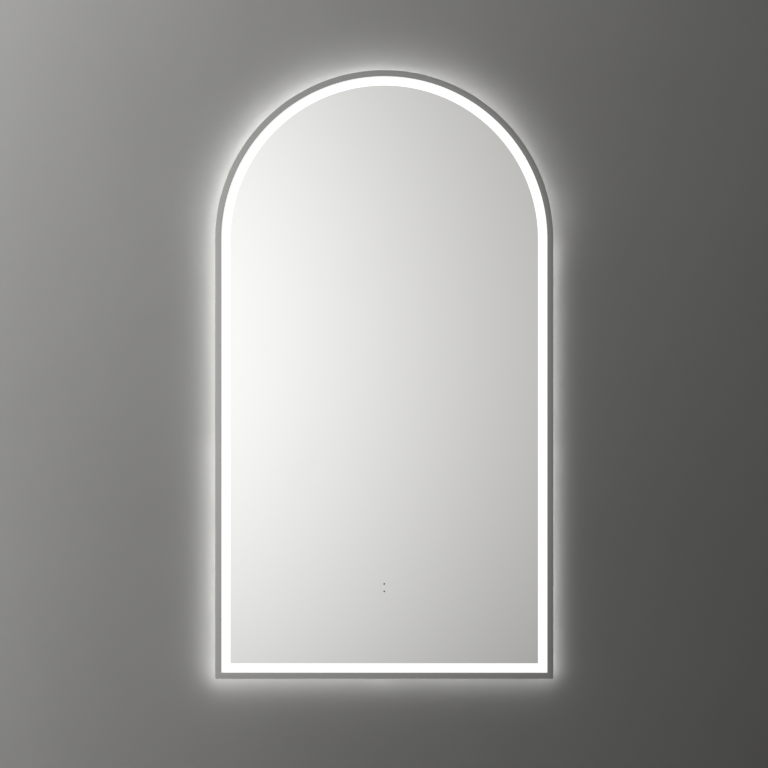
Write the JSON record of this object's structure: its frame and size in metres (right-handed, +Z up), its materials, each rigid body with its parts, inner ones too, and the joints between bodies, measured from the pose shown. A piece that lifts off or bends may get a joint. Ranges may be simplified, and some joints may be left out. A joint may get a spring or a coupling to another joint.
{
  "type": "lighted bathroom mirror",
  "caption": "Wall-hung arch mirror with a grey metal frame, a lit frosted border, a rear halo light and touch marks, on a hooked wall rail.",
  "frame": {"origin": "on the wall plane, midway between the wall rail's two round screw holes", "axes": "+X to the right as seen from the room, +Y into the wall, +Z up"},
  "size_m": [0.5, 0.045, 0.8999],
  "materials": {
    "frame_grey": "satin grey anodised",
    "silvered_glass": "polished, with a frosted lit border",
    "zinc_casting": "as cast",
    "zinc_screw": "zinc plated",
    "gasket_rubber": "matt",
    "backing_film": "matt",
    "foam_tape": "matt foam",
    "white_steel": "satin powder coat",
    "strip_white": "satin",
    "chip_yellow": "glossy resin",
    "opal_acrylic": "satin opal, lit",
    "galvanised_steel": "galvanised sheet",
    "rail_steel": "zinc plated",
    "rivet_aluminium": "bright",
    "foot_rubber": "matt",
    "demister_film": "satin film with a printed heating track",
    "boot_plastic": "matt",
    "case_plastic": "fine texture",
    "board_green": "satin solder mask",
    "contact_brass": "bright",
    "block_plastic": "satin",
    "lead_white": "satin sheath"
  },
  "bodies": {
    "wall_rail": {"wall_rail": "rail_steel"},
    "mirror": {"frame_arch": "frame_grey", "frame_sill": "frame_grey", "mirror_glass": "silvered_glass", "corner_key_left": "zinc_casting", "corner_key_right": "zinc_casting", "corner_key_screws": "zinc_screw", "back_plate_screws": "zinc_screw", "bumper_screws": "zinc_screw", "driver_screws": "zinc_screw", "bracket_screws": "zinc_screw", "terminal_screws": "zinc_screw", "terminal_cover_screws": "zinc_screw", "earth_screw": "zinc_screw", "glazing_gasket": "gasket_rubber", "safety_film": "backing_film", "bond_tape": "foam_tape", "light_rim": "white_steel", "led_tape": "strip_white", "led_chips": "chip_yellow", "rear_diffuser": "opal_acrylic", "back_plate": "galvanised_steel", "terminal_bracket": "galvanised_steel", "terminal_cover": "galvanised_steel", "hanger_bar": "rail_steel", "hanger_rivets": "rivet_aluminium", "wall_bumpers": "foot_rubber", "cable_grommet": "foot_rubber", "demister_pad": "demister_film", "demister_boot": "boot_plastic", "lead_clips": "boot_plastic", "touch_case": "case_plastic", "driver_body": "case_plastic", "driver_cover_mains": "case_plastic", "driver_cover_output": "case_plastic", "touch_board": "board_green", "touch_contacts": "contact_brass", "earth_tag": "contact_brass", "terminal_block": "block_plastic", "wiring_loom": "lead_white"}
  },
  "joints": [
    {"name": "lift_off", "type": "slide", "parent": "wall_rail", "child": "mirror", "axis": [0, 0, 1], "range_m": [0, 0.014]}
  ]
}
